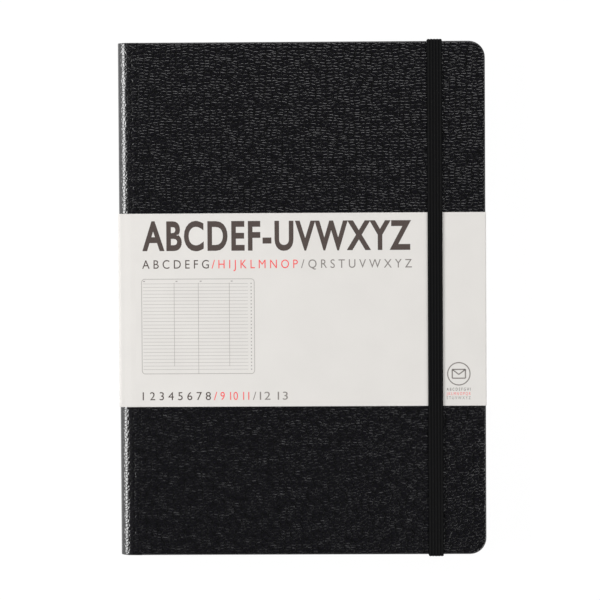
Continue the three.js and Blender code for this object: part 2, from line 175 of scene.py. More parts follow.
class BookColours(bpy.types.PropertyGroup):
    """Colours of the finishes."""

    leather: screen_colour("Leatherette", "Tops of the pressed grain", 13, 12, 17)
    # Painted shade: the deep colour stands for the shade in the grain's creases.
    leather_deep: screen_colour("Leatherette, deep", "Creases of the pressed grain", 2, 2, 3)
    elastic: screen_colour("Elastic", "Tops of the elastic's ribs", 23, 23, 23)
    # Painted shade: the deep colour stands for the shade between the elastic's ribs.
    elastic_deep: screen_colour("Elastic, deep", "Between the elastic's ribs", 2, 2, 3)
    cloth: screen_colour("Cloth", "Headbands and gussets", 28, 28, 30)
    board: screen_colour("Board", "Bare binder's board", 150, 146, 138)
    endpaper: screen_colour("Endpaper", "Pastedowns, flyleaves and pocket", 240, 234, 219)
    page: screen_colour("Page", "Writing paper", 243, 238, 224)
    rule: screen_colour("Ruling", "Lines on the pages", 170, 166, 160)
    band: screen_colour("Band", "Paper band", 219, 216, 212)
    gauze: screen_colour("Gauze", "Mull on the back of the block", 232, 228, 218)
    glue: screen_colour("Glue", "Glued back edge of the block", 233, 226, 204)
    print_dark: screen_colour("Dark print", "Dark brown print", 70, 59, 55)
    print_red: screen_colour("Red print", "Red print", 236, 84, 84)
    print_grey: screen_colour("Grey print", "Grey print", 128, 123, 119)
    print_pale: screen_colour("Pale print", "Thin lines of the small diagram", 158, 153, 150)


def sizes():
    return bpy.context.scene.book_sizes


def colour(name, share=1.0):
    """A colour of the book, or a darker share of it, with its alpha."""
    return (*(share * value for value in getattr(bpy.context.scene.book_colours, name)), 1)


class Signal:
    """A shader socket on which Python's arithmetic adds Math nodes."""

    def __init__(self, tree, socket=None):
        self.tree = tree
        self.socket = socket

    def put(self, socket, value):
        if isinstance(value, Signal):
            self.tree.links.new(value.socket, socket)
        else:
            socket.default_value = value

    def node(self, kind, settings=None, inputs=None, output=0):
        """Any other node: first its settings, then the values or links of its sockets."""
        node = self.tree.nodes.new(kind)
        for name, value in (settings or {}).items():
            setattr(node, name, value)
        for key, value in (inputs or {}).items():
            self.put(node.inputs[key], value)
        return Signal(self.tree, node.outputs[output])

    def math(self, operation, *values):
        return self.node("ShaderNodeMath", {"operation": operation}, dict(enumerate(values)))

    def __add__(self, other):
        return self.math("ADD", self, other)

    def __sub__(self, other):
        return self.math("SUBTRACT", self, other)

    def __mul__(self, other):
        return self.math("MULTIPLY", self, other)

    def __rsub__(self, other):
        return self.math("SUBTRACT", other, self)

    __radd__ = __add__
    __rmul__ = __mul__

    def step(self, low, high):
        """Rises smoothly from 0 to 1 between two values."""
        settings = {"interpolation_type": "SMOOTHSTEP"}
        return self.node("ShaderNodeMapRange", settings, {"Value": self, "From Min": low, "From Max": high})

    def mix(self, first, second):
        """From one colour to another."""
        inputs = {0: self, 6: first, 7: second}
        return self.node("ShaderNodeMix", {"data_type": "RGBA"}, inputs, 2)

    def scaled(self, *factors):
        """A vector stretched along its three axes."""
        return self.node("ShaderNodeVectorMath", {"operation": "MULTIPLY"}, {0: self, 1: factors})

    def shifted(self, other):
        return self.node("ShaderNodeVectorMath", {"operation": "ADD"}, {0: self, 1: other})

    def noise(self, scale, detail=3, output=0):
        inputs = {"Vector": self, "Scale": scale, "Detail": detail}
        return self.node("ShaderNodeTexNoise", None, inputs, output)

    def part(self, axis):
        """One of a vector's three numbers."""
        return self.node("ShaderNodeSeparateXYZ", None, {0: self}, axis)

    def bump(self, distance, strength=1):
        inputs = {"Height": self, "Distance": distance, "Strength": strength}
        return self.node("ShaderNodeBump", None, inputs)

    def surface(self, base, roughness, specular=0.5, normal=None):
        """Sets the material's own surface shader."""
        inputs = self.tree.nodes["Principled BSDF"].inputs
        self.put(inputs["Base Color"], base)
        self.put(inputs["Roughness"], roughness)
        self.put(inputs["Specular IOR Level"], specular)
        if normal:
            self.put(inputs["Normal"], normal)


def new_material(name, maker, *settings):
    """A material whose node tree is filled by the maker."""
    made = bpy.data.materials.new(name)
    made.use_nodes = True
    maker(Signal(made.node_tree), *settings)
    return made


def surface_map(start):
    """The piece's own unrolled map, in millimetres."""
    return start.node("ShaderNodeUVMap").scaled(1 / MM, 1 / MM, 1 / MM)


def object_map(start):
    """Object coordinates in millimetres."""
    return start.node("ShaderNodeTexCoord", None, None, 3).scaled(1 / MM, 1 / MM, 1 / MM)


def leatherette(start, shine=0.46, roughness=0.28, depth=0.115):
    """Pressed grain: pebbles that lie across the book, in rows that wander. They are stretched cells
    on a map warped by slow noise, parted by creases, with finer pores on top. The creases are painted
    darker, as painted shade. Where it is stretched over the spine it has more shine and a shallower
    grain."""
    place = surface_map(start)
    wander = place.noise(0.2, 1, 1).scaled(1.2, 1.6, 0)
    cells = {"Vector": place.shifted(wander).scaled(0.44, 0.8, 1), "Scale": 1, "Randomness": 0.85}
    flat = {"voronoi_dimensions": "2D"}
    pebble = start.node("ShaderNodeTexVoronoi", {"feature": "F1", **flat}, cells)
    crease = start.node("ShaderNodeTexVoronoi", {"feature": "DISTANCE_TO_EDGE", **flat}, cells)
    height = crease.step(0, 0.22) * 0.55 + (1 - pebble.step(0.05, 0.7)) * 0.45
    pores = place.scaled(1, 1.8, 1).noise(3, 2)
    relief = height + pores * 0.12
    # Painted shade: the creases take the darker colour, by the same height as the bump.
    start.surface(
        height.step(0.3, 0.9).mix(colour("leather_deep"), colour("leather")), roughness - height * 0.05,
        shine, relief.bump(depth * MM))


def paper(start, tint, roughness=0.85, rules=False, unrolled=True):
    """Uncoated paper: faint cloudy tone and fibres, on the piece's unrolled map where it has one. A
    ruled page has a line every seven millimetres and thin upright dividers."""
    place = surface_map(start) if unrolled else object_map(start)
    cloud = place.noise(0.06, 3)
    fibre = place.scaled(1, 1, 4).noise(3.5, 4)
    tone = (cloud * 0.5 + fibre * 0.5).step(0.3, 0.7).mix(colour(tint, 0.955), colour(tint))
    if rules:
        tone = ruling(start, place).mix(tone, colour("rule"))
    start.surface(tone, roughness, 0.25, fibre.bump(0.02 * MM, 0.5))


# The pages' ruling, in millimetres.
RULE_PITCH = 7.0
RULE_WIDTH = 0.22
RULED_LENGTH = 94.0
DIVIDERS = (-30.0, -2.0, 36.0)
RULED_WEST = -62.0
RULED_EAST = 61.0


def ruling(start, place):
    """1 on a line of the ruling and 0 beside it."""
    x, y = place.part(X), place.part(Y)
    across = start.math("LESS_THAN", start.math("PINGPONG", y, RULE_PITCH / 2), RULE_WIDTH / 2)
    inside = start.math("COMPARE", x, (RULED_WEST + RULED_EAST) / 2, (RULED_EAST - RULED_WEST) / 2)
    lines = across * inside
    for divider in DIVIDERS:
        lines = start.math("MAXIMUM", lines, start.math("COMPARE", x, divider, RULE_WIDTH / 2))
    return lines * start.math("COMPARE", y, 0.0, RULED_LENGTH)


def woven(start, tint, pitch):
    """Cloth: two sets of threads that pass over each other, from the product of two sines. Where the
    threads dip, the colour is painted darker, as painted shade.
    """
    place = surface_map(start)
    warp = start.math("SINE", place.part(X) * (math.tau / pitch))
    weft = start.math("SINE", place.part(Y) * (math.tau / pitch))
    weave = warp * weft * 0.5 + 0.5
    # Painted shade: the low places of the weave take a darker share of the tint.
    start.surface(weave.mix(colour(tint, 0.55), colour(tint)), 0.9, 0.08, weave.bump(0.06 * MM))


def webbing(start):
    """Ribbed elastic: fine picks across it, and ribs along it, with painted shade between the ribs
    and painted light on their tops.
    """
    place = surface_map(start)
    west, east = span("elastic_closure", X)
    across = (place.part(X) - west / MM) * (math.tau * sizes().strap_ribs * MM / (east - west))
    rib = 0.5 - start.math("COSINE", across) * 0.5
    pick = start.math("SINE", place.part(Y) * (math.tau / 0.55)) * 0.5 + 0.5
    height = rib * 0.7 + pick * 0.3
    # Painted shade and light: the low places take the darker colour, the tops the lighter.
    tone = height.step(0.35, 1.05).mix(colour("elastic_deep"), colour("elastic"))
    start.surface(tone, 0.85, 0.1, height.bump(0.08 * MM))


def mottled(start, tint, roughness):
    """Pressed board or dried glue: uneven flecks."""
    fleck = object_map(start).noise(2.2, 5)
    tone = fleck.step(0.35, 0.65).mix(colour(tint, 0.7), colour(tint))
    start.surface(tone, roughness, normal=fleck.bump(0.05 * MM))


def ink(start, tint):
    """Offset ink, slightly uneven where the paper's fibres show through."""
    full = colour(tint)
    thin = tuple(value * 0.95 + 0.05 * paper_value for value, paper_value in zip(full, colour("band")))
    cover = object_map(start).noise(6, 3).step(0.3, 0.55)
    start.surface(cover.mix(thin, full), 0.7, 0.3)


PRINTS = ("print_dark", "print_red", "print_grey", "print_pale")

# Each finish's maker and the maker's settings.
FINISHES = {
    "leatherette": (leatherette,),
    "spine_leatherette": (leatherette, 1.0, 0.27, 0.08),
    "elastic": (webbing,),
    "black_cloth": (woven, "cloth", 0.4),
    "gauze": (woven, "gauze", 0.9),
    "grey_board": (mottled, "board", 0.95),
    "glue": (mottled, "glue", 0.6),
    "endpaper": (paper, "endpaper"),
    "flat_endpaper": (paper, "endpaper", 0.85, False, False),
    "page_paper": (paper, "page", 0.85, True),
    "band_paper": (paper, "band", 0.7),
    **{name: (ink, name) for name in PRINTS},
}
SLOTS = {material["slot"] for material in frame["record"]["materials"]}
SLOT_OF = {"spine_leatherette": "leatherette"}


def finish_of(name):
    """The material of that finish, made when it is first asked for."""
    title = f"{name}_finish"
    return bpy.data.materials.get(title) or new_material(title, *FINISHES[name])


def bezier(points, steps):
    """Points on a Bezier curve: its control points weighted by the Bernstein polynomials."""
    points = np.array(points, float)
    degree = len(points) - 1
    t = np.linspace(0, 1, steps + 1)[:, None]
    return sum(
        math.comb(degree, i) * t**i * (1 - t) ** (degree - i) * point for i, point in enumerate(points)
    )


def rounded_line(corners, steps=8):
    """Straight runs between corners given as (a, b, radius). A corner's arc starts a distance of
    radius times tan(half the turn) before it and touches both runs."""
    corners = np.array(corners, float)
    places, radii = corners[:, :2], corners[:, 2]
    runs = np.diff(places, axis=0)
    runs /= np.linalg.norm(runs, axis=1)[:, None]
    parts = [places[:1]]
    for into, out, corner, radius in zip(runs, runs[1:], places[1:], radii[1:]):
        turn = math.atan2(into[0] * out[1] - into[1] * out[0], into @ out)
        start = corner - into * radius * math.tan(abs(turn) / 2)
        side = np.array([-into[1], into[0]]) * math.copysign(1, turn)
        angle = np.linspace(0, abs(turn), steps + 1)[:, None]
        parts.append(start + radius * (side * (1 - np.cos(angle)) + into * np.sin(angle)))
    return np.concatenate([*parts, places[-1:]])


def lengths(line):
    """How far along a line each of its points lies."""
    return np.concatenate([[0], np.cumsum(np.linalg.norm(np.diff(line, axis=0), axis=1))])


def subdivided(line, step):
    """The same line with extra points, so that no run is longer than the step."""
    along = lengths(line)
    places = np.union1d(along, np.arange(0, along[-1], step))
    return np.column_stack([np.interp(places, along, line[:, axis]) for axis in (0, 1)])


def offset(line, distance):
    """A line moved to the left of its direction, at right angles to the chord between neighbours."""
    padded = np.concatenate([line[:1], line, line[-1:]])
    chord = padded[2:] - padded[:-2]
    chord /= np.linalg.norm(chord, axis=1)[:, None]
    return line + np.column_stack([-chord[:, 1], chord[:, 0]]) * np.reshape(distance, (-1, 1))


def loop_between(outer, inner):
    """The loop that goes out along one line and back along another, and the middle line between the
    two at each of its points. Two grids give a loop for each row."""
    loop = np.concatenate([outer, inner[..., ::-1, :], outer[..., :1, :]], axis=-2)
    partner = np.concatenate([inner, outer[..., ::-1, :], inner[..., :1, :]], axis=-2)
    return loop, (loop + partner) / 2


def sheet_between(outer, inner):
    """A closed sheet between two grids of points, whose first and last rows are drawn in to their
    middle line."""
    loop, middle = loop_between(outer, inner)
    return np.concatenate([middle[:1], loop, middle[-1:]])


def carried(line, thickness, low, high, across=0.0, round_steps=3):
    """A sheet whose section follows a line in X and Z, carried from one Y to another. The thickness
    lies to the left of the line. The ends are rounded: at angle a a row is drawn in to sin(a) of its
    thickness, and it lies half of the thickness times 1 - cos(a) from the end. One more row beside
    each end keeps the smoothing of the round off the long flat run between them."""
    radius = float(np.min(thickness)) / 2
    angle = np.linspace(0, math.pi / 2, round_steps + 1)
    pull = np.concatenate([np.sin(angle), [1, 1], np.sin(angle)[::-1]])
    set_back = radius * (1 - np.cos(angle))
    beside = [low + 3 * radius, high - 3 * radius]
    rows = np.concatenate([low + set_back, beside, high - set_back[::-1]])
    loop, middle = loop_between(line, offset(line, thickness))
    section = middle + (loop - middle) * pull[:, None, None]
    points = np.stack([
        section[:, :, 0], np.broadcast_to(rows[:, None], section.shape[:2]), section[:, :, 1]], axis=-1)
    along = across + lengths(line)
    u = np.concatenate([along, along[::-1], along[:1]])
    uv = np.stack(np.broadcast_arrays(u[None], rows[:, None]), axis=-1)
    return points, uv


def turned(profile, centre, steps):
    """A profile of (radius, height) turned round an upright axis."""
    angle = np.linspace(0, math.tau, steps + 1)
    radius, height = (profile[:, axis, None] for axis in (0, 1))
    points = np.stack(np.broadcast_arrays(
        centre[0] + radius * np.cos(angle), centre[1] + radius * np.sin(angle), height), axis=-1)
    uv = np.stack(np.broadcast_arrays(angle * profile[:, :1].max(), height), axis=-1)
    return points, uv


def at_height(grid, height):
    """A grid of (x, y) points at one height, or with a height for each row."""
    height = np.broadcast_to(np.reshape(height, (-1, 1, 1)), (*grid.shape[:2], 1))
    return np.concatenate([grid, height], axis=2)


def bars(starts, ends, width, low, high):
    """Flat bars between pairs of points, as corners and faces. Each bar's sides lie half the width to
    the left and right of its direction."""
    starts, ends = np.array(starts, float), np.array(ends, float)
    along = ends - starts
    side = np.column_stack([-along[:, 1], along[:, 0]])
    side *= width / 2 / np.linalg.norm(side, axis=1)[:, None]
    ring = np.stack([starts - side, ends - side, ends + side, starts + side], axis=1)
    corners = np.concatenate([at_height(ring, low), at_height(ring, high)], axis=1).reshape(-1, 3)
    box = np.array([(3, 2, 1, 0), (4, 5, 6, 7), (0, 1, 5, 4), (1, 2, 6, 5), (2, 3, 7, 6), (3, 0, 4, 7)])
    faces = (box[None] + 8 * np.arange(len(starts))[:, None, None]).reshape(-1, 4)
    return corners, faces


def grid_faces(rows, columns):
    """The corners of each square between neighbouring rows and columns."""
    index = np.arange(rows * columns).reshape(rows, columns)
    corners = index[:-1, :-1], index[:-1, 1:], index[1:, 1:], index[1:, :-1]
    return np.stack(corners, axis=-1).reshape(-1, 4)


def tidy_mesh(mesh, weld, sharp):
    """Merges doubled points, which closes seams and poles, turns the faces outwards and smooths all
    but the sharp edges."""
    work = bmesh.new()
    work.from_mesh(mesh)
    bmesh.ops.remove_doubles(work, verts=work.verts, dist=weld)
    bmesh.ops.recalc_face_normals(work, faces=work.faces)
    work.to_mesh(mesh)
    work.free()
    mesh.shade_smooth()
    mesh.set_sharp_from_angle(angle=math.radians(sharp))


def add_object(name, data):
    """A new object in the scene."""
    made = bpy.data.objects.new(name, data)
    bpy.context.scene.collection.objects.link(made)
    return made


def add_piece(name, mesh, finish):
    """A piece of the book, with its finish. The slot that the finish belongs to is looked up but not
    given to the piece.
    """
    made = add_object(name, mesh)
    mesh.materials.append(finish_of(finish))
    slot = SLOT_OF.get(finish, finish)
    slot in SLOTS
    return made


def surface_piece(name, points, uv, finish, sharp=50):
    """A piece from a grid of points with a map value for each."""
    mesh = bpy.data.meshes.new(name)
    faces = grid_faces(*points.shape[:2])
    mesh.from_pydata(points.reshape(-1, 3), [], faces)
    corner = np.empty(len(mesh.loops), np.int32)
    mesh.loops.foreach_get("vertex_index", corner)
    layer = mesh.uv_layers.new(name="UVMap")
    layer.data.foreach_set("uv", uv.reshape(-1, 2)[corner].astype(np.float32).ravel())
    tidy_mesh(mesh, 1e-7, sharp)
    return add_piece(name, mesh, finish)


def flat_letters(text, west, east, south, north, low, high, weight=0.0, spacing=1.0):
    """Raised letters that fill a box: the text is made a mesh, which is then stretched until its
    sides, its tops and its base line meet the box."""
    curve = bpy.data.curves.new("letters", "FONT")
    curve.body = text
    curve.extrude = 0.01
    curve.offset = weight
    curve.space_character = spacing
    curve.resolution_u = 5
    shape = add_object("letters", curve)
    mesh = bpy.data.meshes.new_from_object(shape.evaluated_get(bpy.context.evaluated_depsgraph_get()))
    corners = np.empty(3 * len(mesh.vertices))
    mesh.vertices.foreach_get("co", corners)
    corners = corners.reshape(-1, 3)
    old_low, old_high = corners.min(0), corners.max(0)
    old_low[Y] = -weight
    new_low, new_high = np.array([west, south, low]), np.array([east, north, high])
    corners = new_low + (corners - old_low) * (new_high - new_low) / (old_high - old_low)
    faces = [list(polygon.vertices) for polygon in mesh.polygons]
    bpy.data.objects.remove(shape)
    bpy.data.curves.remove(curve)
    bpy.data.meshes.remove(mesh)
    return corners, faces


def join_solids(name, solids, finish, body):
    """One riding piece of several letters or bars."""
    firsts = np.cumsum([0] + [len(corners) for corners, _ in solids])
    faces = [
        [first + int(corner) for corner in face]
        for (_, own_faces), first in zip(solids, firsts) for face in own_faces]
    mesh = bpy.data.meshes.new(name)
    mesh.from_pydata(np.concatenate([corners for corners, _ in solids]), [], faces)
    tidy_mesh(mesh, 1e-8, 30)
    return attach(add_piece(name, mesh, finish), body)


def repaint(node, finish):
    """Gives a node of the frame its finish."""
    shape = frame["nodes"][node]
    shape.data.materials.clear()
    shape.data.materials.append(finish_of(finish))


ARC_STEPS = 8


def cover_outline(west, east, half_length, fore_radius, hinge_radius):
    """A cover's outline, anticlockwise from the tail's fore-edge corner: its points, the outward
    directions there, and for each the point of the middle line that it is drawn in to."""
    middle_x = (west + east) / 2
    reach = half_length - (east - west) / 2
    quarter = np.linspace(0, math.pi / 2, ARC_STEPS + 1)
    points, directions = [], []
    corners = [
        (east - fore_radius, -half_length + fore_radius, fore_radius, -math.pi / 2),
        (east - fore_radius, half_length - fore_radius, fore_radius, 0),
        (west + hinge_radius, half_length - hinge_radius, hinge_radius, math.pi / 2),
        (west + hinge_radius, -half_length + hinge_radius, hinge_radius, math.pi),
    ]
    sides = {0: (east, (-reach, 0, reach), 1), 2: (west, (reach, 0, -reach), -1)}
    for index, (x, y, radius, first) in enumerate(corners):
        outward = np.column_stack([np.cos(first + quarter), np.sin(first + quarter)])
        points.append(np.array([x, y]) + radius * outward)
        directions.append(outward)
        if index in sides:
            side_x, heights, sign = sides[index]
            points.append(np.array([(side_x, height) for height in heights]))
            directions.append(np.array([(sign, 0)] * len(heights)))
    points, directions = (np.concatenate([*parts, parts[0][:1]]) for parts in (points, directions))
    anchors = np.column_stack([np.full(len(points), middle_x), np.clip(points[:, 1], -reach, reach)])
    return points, directions, anchors


def cover_skin(west, face, inward):
    """The leatherette round one board, as rings that follow a section given by inset and depth: from
    the middle of the face out to the edge, round it by two quarter circles, in along the turn-in and
    back along the board's side. Rings wider than the edge are drawn in to the middle line."""
    s = sizes()
    points, directions, anchors = cover_outline(west, FORE_EDGE_X, HEAD_Y, s.cover_corner, s.hinge_corner)
    half = (FORE_EDGE_X - west) / 2
    edge, skin = s.edge_round, s.skin
    depth = FRONT_FACE - FRONT_TURN_IN
    angle = np.linspace(0, math.pi / 2, 7)
    beside = edge + 0.5 * MM
    face_rows = [(half, 0), (half / 2, 0), (4 * MM, 0), (beside, 0)]
    upper = np.column_stack([edge * (1 - np.sin(angle)), edge * (1 - np.cos(angle))])
    lower = np.column_stack([edge * (1 - np.cos(angle)), depth - edge * (1 - np.sin(angle))])
    inner = [
        (beside, depth), (s.turn_in, depth), (s.turn_in, depth - skin), (edge, depth - skin),
        (skin, depth - edge), (skin, edge), (edge, skin), (half, skin)]
    section = np.concatenate([face_rows, upper, lower, inner])
    inset = section[:, 0, None, None]
    base = points - directions * edge
    share = 1 - (inset - edge) / (half - edge)
    ring = np.where(inset <= edge, points - directions * inset, anchors + (base - anchors) * share)
    rim = len(face_rows)
    unrolled = (lengths(section) - lengths(section)[rim])[:, None, None]
    uv = np.where(unrolled <= 0, ring, base + directions * unrolled)
    return at_height(ring, face - inward * section[:, 1]), uv


# Where the groove's slope meets the cover, how far its skin laps on to the cover, and how far below
# the cover's face the lap's end lies.
SLOPE_END_X = BOARD_X - 0.2 * MM
LAP_END_X = BOARD_X + 1.1 * MM
LAP_DEPTH = 0.01 * MM


def slope(start, end, steps):
    """A cubic from one point to another that is level at both."""
    middle = (start[0] + end[0]) / 2
    return bezier([start, (middle, start[1]), (middle, end[1]), end], steps)


def front_groove_side():
    """Outer line of the skin on the cover's side of the front groove: a slope up from the hinge line
    to the face, then a lap on to the cover."""
    rise = slope((HINGE_X, FRONT_FACE - sizes().groove), (SLOPE_END_X, FRONT_FACE), 16)
    return np.concatenate([rise, [(LAP_END_X, FRONT_FACE - LAP_DEPTH)]])


def shoulder(centre_x, centre_z, height, steps=16):
    """A quarter ellipse round the spine's edge, from its crest out to its side."""
    angle = np.linspace(0, math.pi / 2, steps + 1)
    return np.column_stack([
        centre_x - sizes().shoulder_width * np.sin(angle), centre_z + height * np.cos(angle)])


def spine_lines():
    """Outer lines of the skin round the spine: first the slope from the front hinge line up to the
    crest of the shoulder, then both shoulders with a slight bulge between, and the back groove."""
    s = sizes()
    groove = BACK_FACE + s.groove, FRONT_FACE - s.groove
    crest = BACK_FACE + s.shoulder_drop, FRONT_FACE - s.shoulder_drop
    crest_x = SPINE_X + s.shoulder_width
    side = crest[0] + s.shoulder_height, crest[1] - s.shoulder_height
    bulge = SPINE_X - s.spine_bulge, (side[0] + side[1]) / 2
    front = slope((HINGE_X, groove[1]), (crest_x, crest[1]), 10)
    rest = [
        shoulder(crest_x, side[1], s.shoulder_height),
        bezier([(SPINE_X, side[1]), bulge, (SPINE_X, side[0])], 14),
        shoulder(crest_x, side[0], -s.shoulder_height)[::-1],
        slope((crest_x, crest[0]), (HINGE_X, groove[0]), 12),
        slope((HINGE_X, groove[0]), (SLOPE_END_X, BACK_FACE), 12),
        np.array([(SLOPE_END_X, BACK_FACE), (LAP_END_X, BACK_FACE + LAP_DEPTH)]),
    ]
    return front, np.concatenate([rest[0], *(line[1:] for line in rest[1:])])


def spine_wall(line):
    """Thickness of the spine's skin: the full spine down its side, and one skin beyond, with a
    smooth change over the shoulders."""
    s = sizes()
    share = np.clip((HINGE_X - 1.5 * MM - line[:, 0]) / (s.shoulder_width * 0.6), 0, 1)
    share = share * share * (3 - 2 * share)
    return s.skin + (s.spine_thickness - s.skin) * share


class BOOK_OT_covers(bpy.types.Operator):
    """Wrap both boards and the spine in leatherette"""

    bl_idname = "book.covers"
    bl_label = "Covers and spine"

    def execute(self, context):
        west = BOARD_X + 0.4 * MM
        front = surface_piece("front_cover_leather", *cover_skin(west, FRONT_FACE, 1), "leatherette")
        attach(front, "front_cover")
        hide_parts("front_cover_skin")
        back = surface_piece("back_cover_leather", *cover_skin(west, BACK_FACE, -1), "leatherette")
        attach(back, "root")
        _, line = spine_lines()
        spine = surface_piece(
            "spine_leather", *carried(line, spine_wall(line), -HEAD_Y, HEAD_Y, across=HINGE_X),
            "spine_leatherette")
        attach(spine, "root")
        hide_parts("spine_and_back_skin", "spine_inlay")
        for node in ("front_board", "back_board"):
            repaint(node, "grey_board")
        return {"FINISHED"}


BEND_STEP = 0.1 * MM  # Longest run of a line beside the hinge line.


def bend(piece):
    """Bakes a piece's place into its mesh; the piece rides no body and does not bend."""
    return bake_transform(piece)


class BOOK_OT_groove(bpy.types.Operator):
    """Lay the soft leatherette in the front groove, in two halves that meet at the hinge line"""

    bl_idname = "book.groove"
    bl_label = "Front groove"

    def execute(self, context):
        skin = sizes().skin
        spine_side, _ = spine_lines()
        near = surface_piece(
            "groove_leather_spine_side",
            *carried(subdivided(spine_side, BEND_STEP), skin, -HEAD_Y, HEAD_Y, across=HINGE_X),
            "spine_leatherette")
        bend(near)
        cover_side = subdivided(front_groove_side(), BEND_STEP)
        far = surface_piece(
            "groove_leather_cover_side",
            *carried(cover_side[::-1], skin, -HEAD_Y, HEAD_Y, across=HINGE_X), "leatherette")
        bend(far)
        return {"FINISHED"}


def endpaper_hinge(name, east, west, level):
    line = subdivided(np.array([(east, level), (west, level)]), BEND_STEP)
    section = carried(line, sizes().endpaper, -PAGE_Y, PAGE_Y, across=-east)
    return surface_piece(name, *section, "endpaper")


class BOOK_OT_endpapers(bpy.types.Operator):
    """Add the pastedowns, the flyleaves and the folded paper between them"""

    bl_idname = "book.endpapers"
    bl_label = "Endpapers"

    def execute(self, context):
        level = span("front_pastedown", Z)[0] + 0.05 * MM
        glued_x = GUTTER_X - 2 * MM
        near = endpaper_hinge("endpaper_hinge_block_side", HINGE_X, glued_x, level)
        bend(near)
        far = endpaper_hinge("endpaper_hinge_cover_side", BOARD_X + 0.1 * MM, HINGE_X, level)
        bend(far)
        for node in ("front_pastedown", "back_pastedown", "back_flyleaf"):
            repaint(node, "flat_endpaper")
        low, high = span("front_flyleaf", Z)
        fold_east = LEAF_X + sizes().leaf_bend
        fold = leaf_piece("front_flyleaf_fold", LEAF_X, plain_edge(fold_east, 0), low, high, "endpaper")
        bend(fold)
        edge = plain_edge(PAGE_X, sizes().page_corner)
        sheet = leaf_piece("front_flyleaf_sheet", fold_east, edge, low, high, "endpaper")
        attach(sheet, "flyleaf")
        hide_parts("front_flyleaf")
        return {"FINISHED"}


def plain_edge(east, radius):
    """The outer edge of a whole leaf, from the head to the tail."""
    line = [(HINGE_X, PAGE_Y, 0), (east, PAGE_Y, radius), (east, -PAGE_Y, radius), (HINGE_X, -PAGE_Y, 0)]
    return rounded_line(line)[1:-1]


def tab_foot(index):
    """The y of the foot of a letter's tab."""
    return PAGE_Y - (index + 1) * 2 * PAGE_Y / len(LETTERS)


def stepped_edge(index):
    """The outer edge of a section: full width down to the foot of its tab, then cut back."""
    s = sizes()
    cut_x = PAGE_X - s.tab_depth
    foot = tab_foot(index)
    line = [
        (HINGE_X, PAGE_Y, 0), (PAGE_X, PAGE_Y, s.page_corner), (PAGE_X, foot, s.tab_round),
        (cut_x, foot, s.tab_round), (cut_x, -PAGE_Y, s.page_corner), (HINGE_X, -PAGE_Y, 0)]
    return rounded_line(line)[1:-1]


def leaf_piece(name, west, edge, low, high, finish):
    """A flat leaf from its inner edge to its outer one. Row j joins the inner point at the same share
    of the length to the edge's point j, and columns lie closest beside the gutter."""
    edge = subdivided(edge, 12 * MM)
    share = lengths(edge) / lengths(edge)[-1]
    inner_y = edge[0, 1] + share * (edge[-1, 1] - edge[0, 1])
    inner_edge = np.column_stack([np.full(len(edge), west), inner_y])
    across = np.concatenate([np.linspace(0, 0.15, 22), np.linspace(0.2, 1, 6)])[:, None]
    flat = inner_edge[:, None] + (edge - inner_edge)[:, None] * across
    points = sheet_between(at_height(flat, high), at_height(flat, low))
    return surface_piece(name, points, points[:, :, :2], finish, sharp=30)


def tab_letter(letter, index, high):
    """A plain letter in the middle of its tab. An I is narrower than the others."""
    size = sizes().tab_letter
    x = PAGE_X - sizes().tab_depth / 2
    y = tab_foot(index) + PAGE_Y / len(LETTERS)
    width = size * (0.25 if letter == "i" else 0.78)
    low = high + 0.002 * MM
    return flat_letters(
        letter.upper(), x - width / 2, x + width / 2, y - size / 2, y + size / 2, low, low + sizes().ink,
        weight=0.01)


class BOOK_OT_register(bpy.types.Operator):
    """Add the stepped sections of the register and the letters on their tabs"""

    bl_idname = "book.register"
    bl_label = "Register"

    def execute(self, context):
        still = []
        for index, letter in enumerate(LETTERS):
            node = f"leaves_{letter}"
            body = f"section_{letter}"
            turns = body in frame["bodies"]
            west = LEAF_X if turns else GUTTER_X
            last = index == len(LETTERS) - 1
            edge = plain_edge(PAGE_X, sizes().page_corner) if last else stepped_edge(index)
            low, high = span(node, Z)
            piece = leaf_piece(f"section_{letter}_leaves", west, edge, low, high, "page_paper")
            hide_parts(node)
            mark = tab_letter(letter, index, high)
            if turns:
                bend(piece)
                join_solids(f"tab_letter_{letter}", [mark], "print_dark", body)
            else:
                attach(piece, "root")
                still.append(mark)
        join_solids("tab_letters_j_to_z", still, "print_dark", "root")
        return {"FINISHED"}


def headband(name, side):
    """A corded bead with raised turns, and its cloth tongue. The bead's radius swells by a cosine of
    the height."""
    s = sizes()
    node = f"headband_{name}"
    west = span(node, X)[0]
    end_y = max(abs(y) for y in span(node, Y))
    cad_radius = 0.65 * MM
    cloth = 0.1 * MM
    height = np.linspace(BLOCK_LOW, BLOCK_HIGH, 121)
    turns = s.bead * (1 + 0.1 * np.cos(math.tau * (height - BLOCK_LOW) / s.bead))
    profile = np.column_stack([turns, height])
    profile = np.concatenate([[(0, BLOCK_LOW)], profile, [(0, BLOCK_HIGH)]])
    centre = west + cad_radius, side * (end_y - cad_radius)
    bead = surface_piece(f"headband_bead_{name}", *turned(profile, centre, 24), "black_cloth")
    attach(bead, "root")
    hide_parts(node)
    ends = sorted((centre[1], side * (abs(centre[1]) - s.tongue)))
    line = np.array([(west + cloth, BLOCK_LOW), (west + cloth, BLOCK_HIGH)])
    tongue = surface_piece(
        f"headband_tongue_{name}", *carried(subdivided(line, 1 * MM), cloth, *ends), "black_cloth")
    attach(tongue, "root")


class BOOK_OT_binding(bpy.types.Operator):
    """Add the glued gutter, the mull and the headbands"""

    bl_idname = "book.binding"
    bl_label = "Binding"

    def execute(self, context):
        repaint("glued_gutter", "glue")
        headband("head", 1)
        headband("tail", -1)
        (west, east), (low_y, high_y) = span("spine_mull", X), span("spine_mull", Y)
        line = np.array([(east, BLOCK_LOW), (east, BLOCK_HIGH)])
        mull = surface_piece(
            "mull_gauze", *carried(subdivided(line, 1 * MM), (east - west) * 0.9, low_y, high_y), "gauze")
        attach(mull, "root")
        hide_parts("spine_mull")
        return {"FINISHED"}


